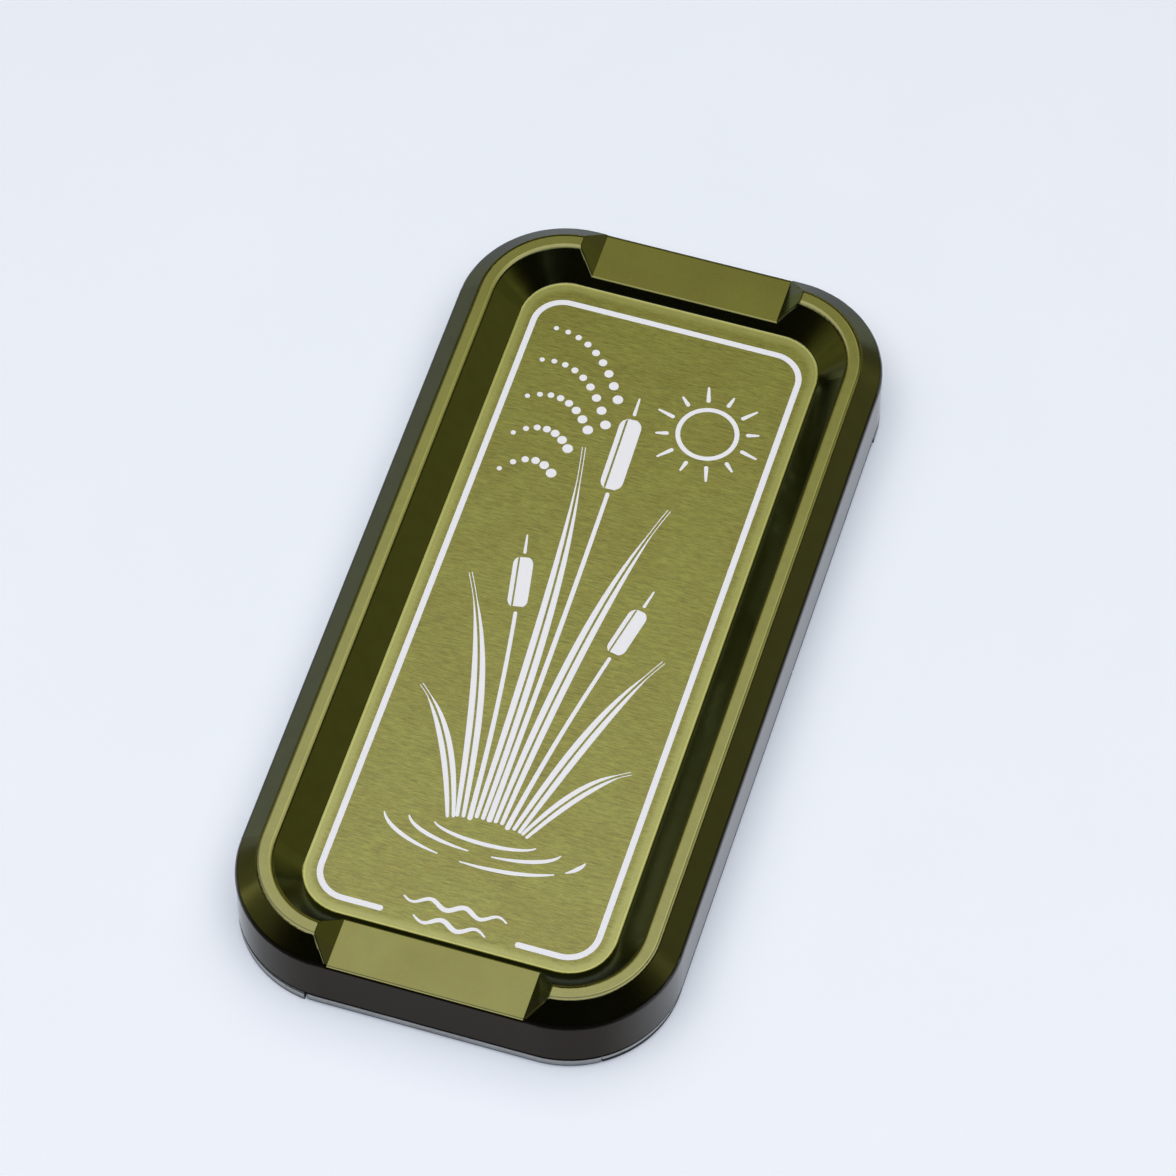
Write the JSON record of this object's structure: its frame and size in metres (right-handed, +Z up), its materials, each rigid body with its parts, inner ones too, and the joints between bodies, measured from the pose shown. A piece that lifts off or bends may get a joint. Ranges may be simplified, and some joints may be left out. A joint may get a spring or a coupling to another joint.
{
  "type": "fly box",
  "caption": "Slim pocket fly box: machined aluminium lid with recessed panel and thumb notches, hinged on a thin tray with a ribbed mat, held shut by magnets.",
  "frame": {"origin": "on the table under the middle of the lid's outline", "axes": "+X across the box to the opening side, +Y along the box to the far end, +Z up"},
  "size_m": [0.0654, 0.1308, 0.0136],
  "materials": {
    "lid_anodised": "olive anodised aluminium, panel brushed across, walls and bevels glossy",
    "tray_anodised": "olive anodised aluminium, fine milled",
    "fly_sheet": "matt black magnetic rubber sheet",
    "fly_mat": "grey silicone, ribbed and slit",
    "edge_seal": "grey rubber strip, satin",
    "hinge_steel": "stainless steel, fine brushed",
    "screw_steel": "stainless steel, turned",
    "magnet_nickel": "nickel-plated magnet"
  },
  "bodies": {
    "base": {"base_tray": "tray_anodised", "base_fly_mat": "fly_mat", "base_magnet_near": "magnet_nickel", "base_magnet_far": "magnet_nickel", "base_hinge_leaf": "hinge_steel", "base_hinge_screws": "screw_steel", "hinge_pin": "hinge_steel", "edge_seal_near": "edge_seal", "edge_seal_right_near": "edge_seal", "edge_seal_right_far": "edge_seal", "edge_seal_far": "edge_seal", "edge_seal_left": "edge_seal"},
    "lid": {"lid_shell": "lid_anodised", "lid_fly_sheet": "fly_sheet", "lid_magnet_near": "magnet_nickel", "lid_magnet_far": "magnet_nickel", "lid_hinge_leaf": "hinge_steel", "lid_hinge_screws": "screw_steel"}
  },
  "joints": [
    {"name": "lid_hinge", "type": "hinge", "parent": "base", "child": "lid", "pos_m": [-0.0322, 0, 0.00218], "axis": [0, -1, 0], "range_deg": [0, 100]}
  ]
}
